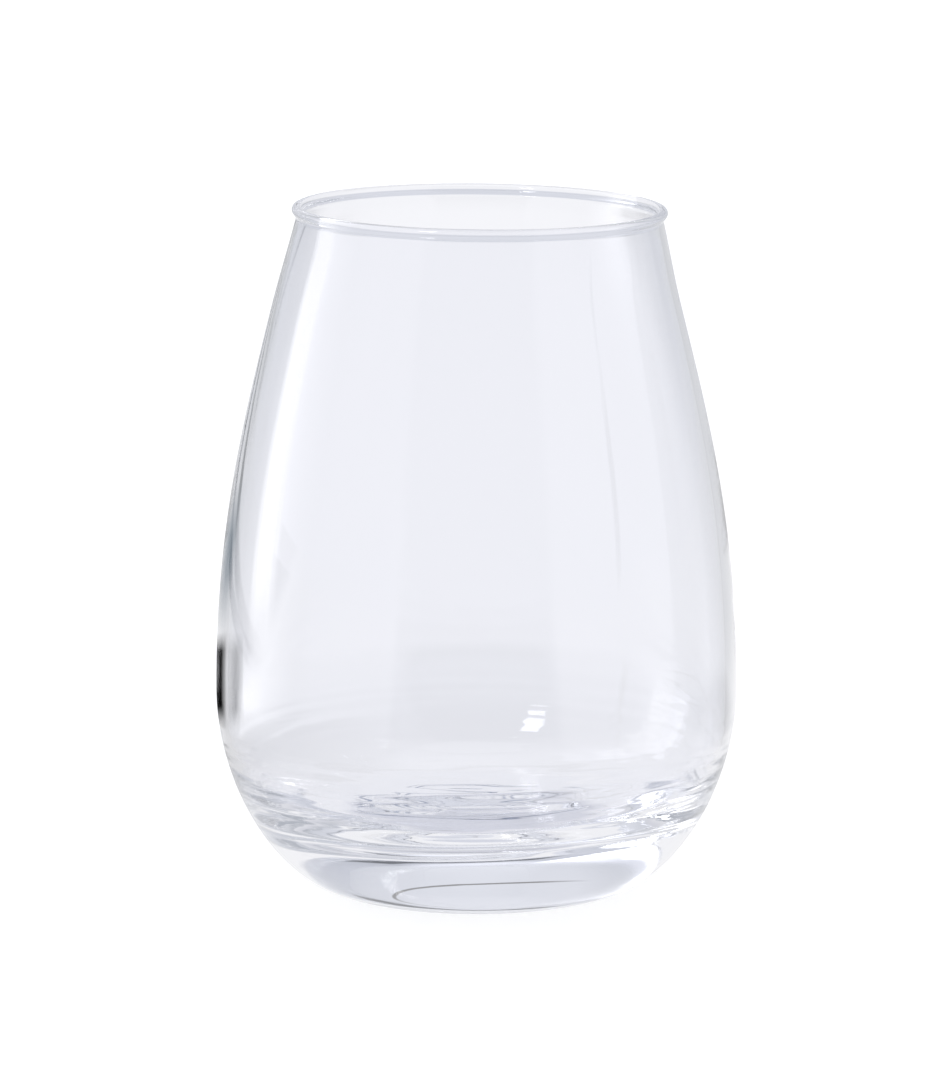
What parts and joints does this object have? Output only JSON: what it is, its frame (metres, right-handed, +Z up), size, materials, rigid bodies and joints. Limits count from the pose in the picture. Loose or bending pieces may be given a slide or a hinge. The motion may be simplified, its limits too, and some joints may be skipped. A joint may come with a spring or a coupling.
{
  "type": "stemless wine glass",
  "caption": "Stemless wine glass: an egg-shaped clear bowl that narrows to a round beaded rim and stands on a thick base with a shallow hollow under it.",
  "frame": {"origin": "middle of the flat ring that the glass stands on, in the plane of the table", "axes": "+Z up along the axis of the glass; +X and +Y are level and alike, because the glass is turned about +Z"},
  "size_m": [0.09, 0.09, 0.1194],
  "materials": {
    "clear_glass": "clear soda-lime glass, fire-polished rim, smooth gloss"
  },
  "bodies": {
    "root": {"glass_body": "clear_glass"}
  },
  "joints": []
}
